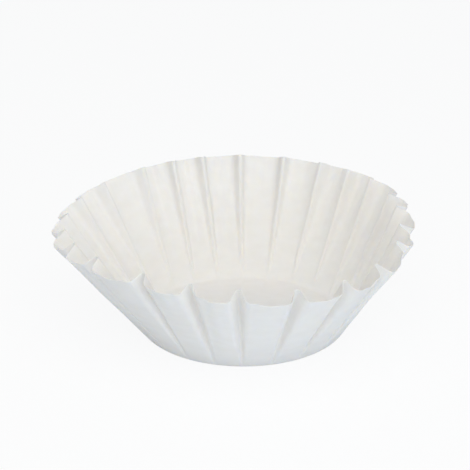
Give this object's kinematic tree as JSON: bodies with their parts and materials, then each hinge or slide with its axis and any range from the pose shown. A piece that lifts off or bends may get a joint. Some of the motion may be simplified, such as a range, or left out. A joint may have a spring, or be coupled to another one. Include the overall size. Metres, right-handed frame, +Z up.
{
  "type": "paper coffee filter",
  "caption": "Flat-bottomed basket filter: one thin round sheet of pale paper folded into a leaning fluted cup, with broad flat-fronted lobes, narrow inward folds and a wavy rim.",
  "frame": {"origin": "centre of the flat underside, on the surface that the filter stands on", "axes": "+Z up from the base to the open rim, square to the base; +X and +Y leave the base through the root of an inward fold; the rim leans over most at 119 degrees from +X towards -Y"},
  "size_m": [0.1844, 0.1838, 0.0656],
  "materials": {
    "paper": "matte, unglazed"
  },
  "bodies": {
    "root": {"filter_paper": "paper"}
  },
  "joints": []
}
